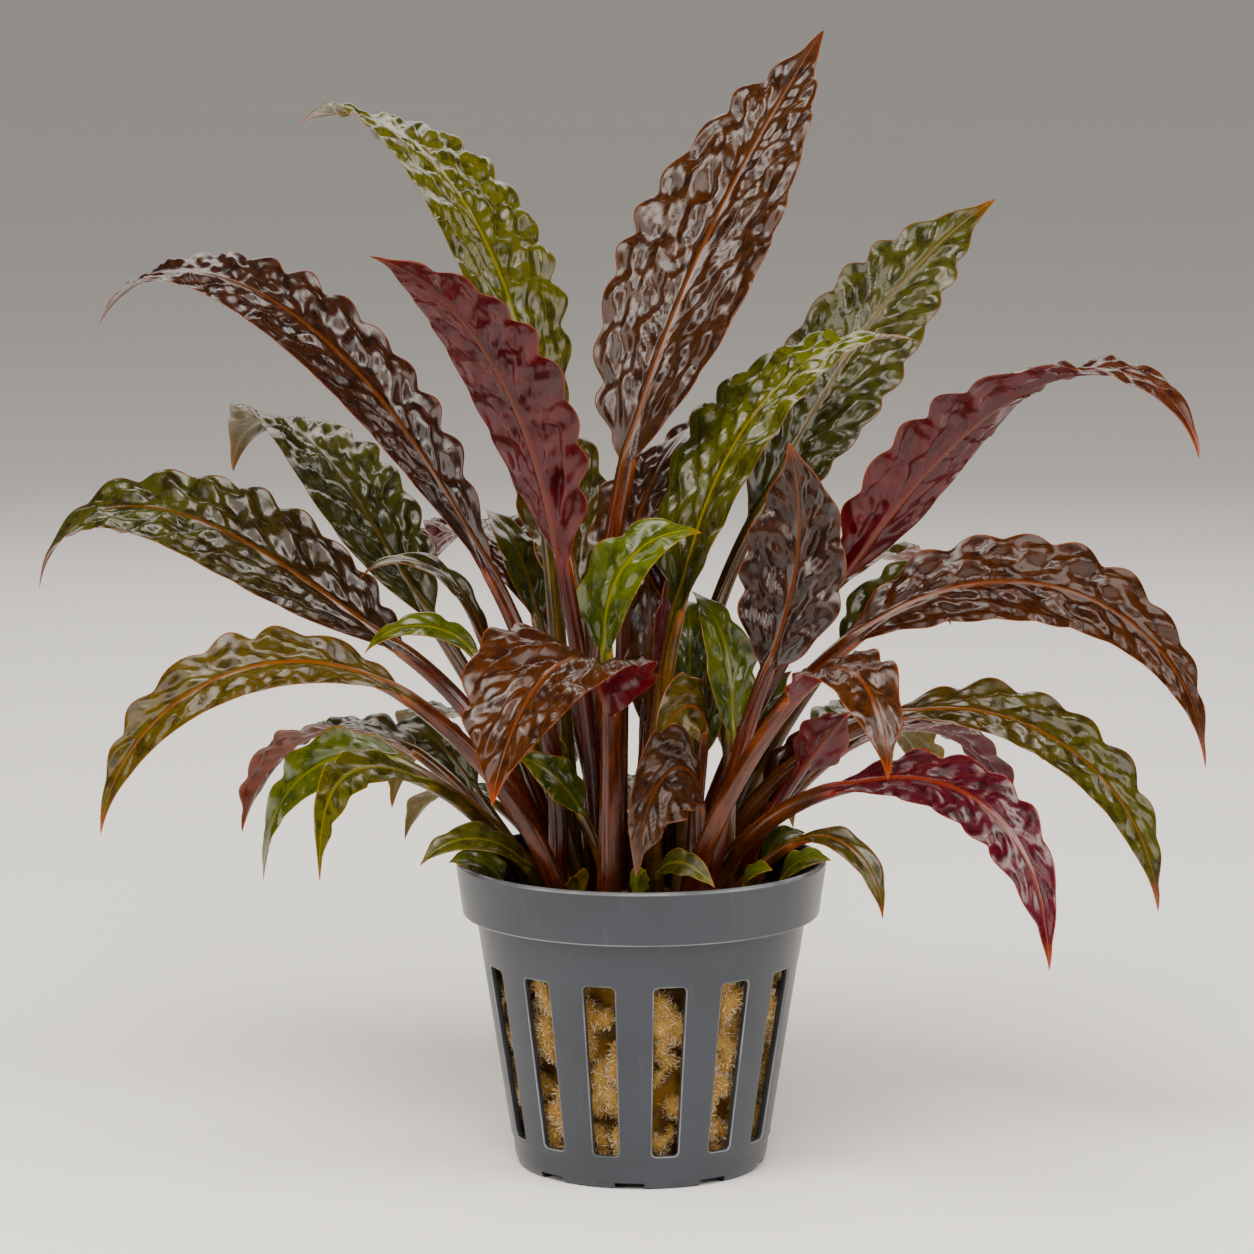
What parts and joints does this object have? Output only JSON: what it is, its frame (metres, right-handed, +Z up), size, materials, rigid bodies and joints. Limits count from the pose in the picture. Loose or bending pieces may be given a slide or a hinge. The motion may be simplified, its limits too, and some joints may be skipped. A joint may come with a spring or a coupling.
{
  "type": "cryptocoryne wendtii in a net pot",
  "caption": "Aquarium plant with wavy brown, olive, green and wine-red leaves arching from one crown, in a grey slotted net pot filled with growing wool.",
  "frame": {"origin": "centre of the pot's underside, on the surface it stands on", "axes": "+Z up along the pot's axis, -Y towards the viewer of the picture, +X to the viewer's right"},
  "size_m": [0.1621, 0.1288, 0.152],
  "materials": {
    "pot_plastic": "satin",
    "growing_wool": "matte",
    "leaf_brown": "gloss",
    "leaf_dark": "gloss",
    "leaf_olive": "gloss",
    "leaf_green": "gloss",
    "leaf_wine": "gloss",
    "leaf_ochre": "gloss"
  },
  "bodies": {
    "root": {"pot": "pot_plastic", "wool": "growing_wool", "leaf_brown_tall": "leaf_brown", "leaf_olive_tall_left": "leaf_olive", "leaf_dark_arch_left": "leaf_dark", "leaf_wine_left": "leaf_wine", "leaf_grey_green_left": "leaf_olive", "leaf_brown_green_left": "leaf_brown", "leaf_ochre_arch_left": "leaf_ochre", "leaf_green_low_left": "leaf_green", "leaf_olive_low_left": "leaf_olive", "leaf_green_short_left": "leaf_green", "leaf_olive_curl_left": "leaf_olive", "leaf_green_curl_left": "leaf_green", "leaf_rim_left": "leaf_olive", "leaf_brown_front": "leaf_brown", "leaf_bright_green_front": "leaf_green", "leaf_yellow_green_right": "leaf_green", "leaf_olive_tall_right": "leaf_olive", "leaf_dark_upright_right": "leaf_dark", "leaf_wine_arch_right": "leaf_wine", "leaf_brown_arch_right": "leaf_brown", "leaf_olive_arch_right": "leaf_olive", "leaf_purple_arch_right": "leaf_wine", "leaf_brown_fold_right": "leaf_brown", "leaf_ochre_fold_front": "leaf_ochre", "leaf_brown_low_front": "leaf_brown", "leaf_green_low_front": "leaf_green", "leaf_green_upright_front": "leaf_green", "leaf_rim_right": "leaf_green", "leaf_rim_front": "leaf_green", "leaf_green_behind_right": "leaf_green", "leaf_brown_behind": "leaf_brown", "leaf_grey_behind_left": "leaf_olive", "leaf_green_young_left": "leaf_green", "leaf_wine_behind_right": "leaf_wine", "leaf_green_centre": "leaf_green", "leaf_wine_furled": "leaf_wine", "leaf_back_tall_1": "leaf_brown", "leaf_back_tall_2": "leaf_olive", "leaf_back_arch_1": "leaf_olive", "leaf_back_arch_2": "leaf_wine", "leaf_back_bow_1": "leaf_brown", "leaf_back_low_1": "leaf_brown", "leaf_back_low_2": "leaf_green", "leaf_back_low_3": "leaf_olive", "leaf_back_low_4": "leaf_brown", "leaf_back_low_5": "leaf_green", "leaf_back_low_6": "leaf_olive", "leaf_back_rim_1": "leaf_green", "leaf_back_rim_2": "leaf_olive", "leaf_back_rim_3": "leaf_green"}
  },
  "joints": []
}
